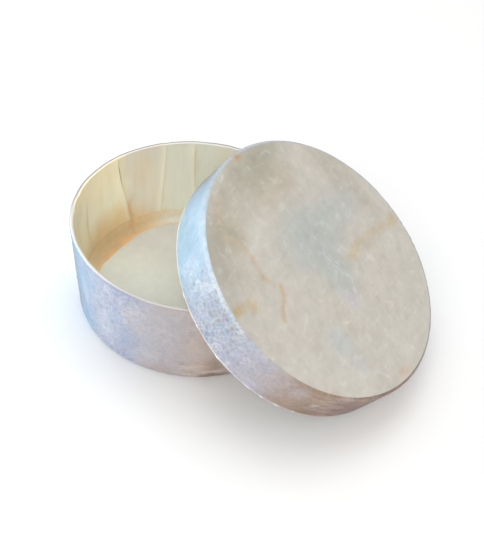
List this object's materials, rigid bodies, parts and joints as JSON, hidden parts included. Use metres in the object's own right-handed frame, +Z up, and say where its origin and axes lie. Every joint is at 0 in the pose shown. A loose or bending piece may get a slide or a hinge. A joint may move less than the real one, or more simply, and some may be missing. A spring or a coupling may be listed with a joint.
{
  "type": "go stone bowl",
  "caption": "Round bowl for go stones with a slip-over lid, laminated from translucent shell over a resin core; the lid is off and leans on the rim.",
  "frame": {"origin": "centre of the bowl's underside, on the table", "axes": "+Z up along the bowl's axis, +X the way the lid leans down from the bowl to the table"},
  "size_m": [0.198, 0.142, 0.0956],
  "materials": {
    "resin_core": "cast translucent resin, covered by shell on both sides",
    "mosaic_shell": "polished nacre, crackled into small facets under clear lacquer",
    "lining_shell": "smooth cream shell with satin sheen",
    "top_shell": "polished shell sheets with growth lines, satin lacquer",
    "bead_resin": "clear amber resin, smoothed by hand",
    "edge_strip": "white ground shell edge, satin"
  },
  "bodies": {
    "bowl": {"bowl_base_core": "resin_core", "bowl_wall_core": "resin_core", "bowl_underside_shell": "mosaic_shell", "bowl_floor_shell": "lining_shell", "bowl_corner_bead": "bead_resin", "bowl_rim_band": "edge_strip", "bowl_outer_shell_1": "mosaic_shell", "bowl_outer_shell_2": "mosaic_shell", "bowl_outer_shell_3": "mosaic_shell", "bowl_outer_shell_4": "mosaic_shell", "bowl_outer_shell_5": "mosaic_shell", "bowl_outer_shell_6": "mosaic_shell", "bowl_lining_shell_1": "lining_shell", "bowl_lining_shell_2": "lining_shell", "bowl_lining_shell_3": "lining_shell", "bowl_lining_shell_4": "lining_shell", "bowl_lining_shell_5": "lining_shell", "bowl_lining_shell_6": "lining_shell", "bowl_lining_shell_7": "lining_shell", "bowl_lining_shell_8": "lining_shell", "bowl_lining_shell_9": "lining_shell"},
    "lid": {"lid_top_core": "resin_core", "lid_skirt_core": "resin_core", "lid_ceiling_shell": "lining_shell", "lid_rim_band": "edge_strip", "lid_top_shell_1": "top_shell", "lid_top_shell_2": "top_shell", "lid_top_shell_3": "top_shell", "lid_top_shell_4": "top_shell", "lid_top_shell_5": "top_shell", "lid_skirt_shell_1": "mosaic_shell", "lid_skirt_shell_2": "mosaic_shell", "lid_skirt_shell_3": "mosaic_shell", "lid_skirt_shell_4": "mosaic_shell", "lid_skirt_shell_5": "mosaic_shell", "lid_skirt_shell_6": "mosaic_shell", "lid_lining_shell_1": "lining_shell", "lid_lining_shell_2": "lining_shell", "lid_lining_shell_3": "lining_shell", "lid_lining_shell_4": "lining_shell", "lid_lining_shell_5": "lining_shell"}
  },
  "joints": [
    {"name": "lid_lift", "type": "slide", "parent": "bowl", "child": "lid", "axis": [0, 0, 1], "range_m": [0, 0.09]}
  ]
}
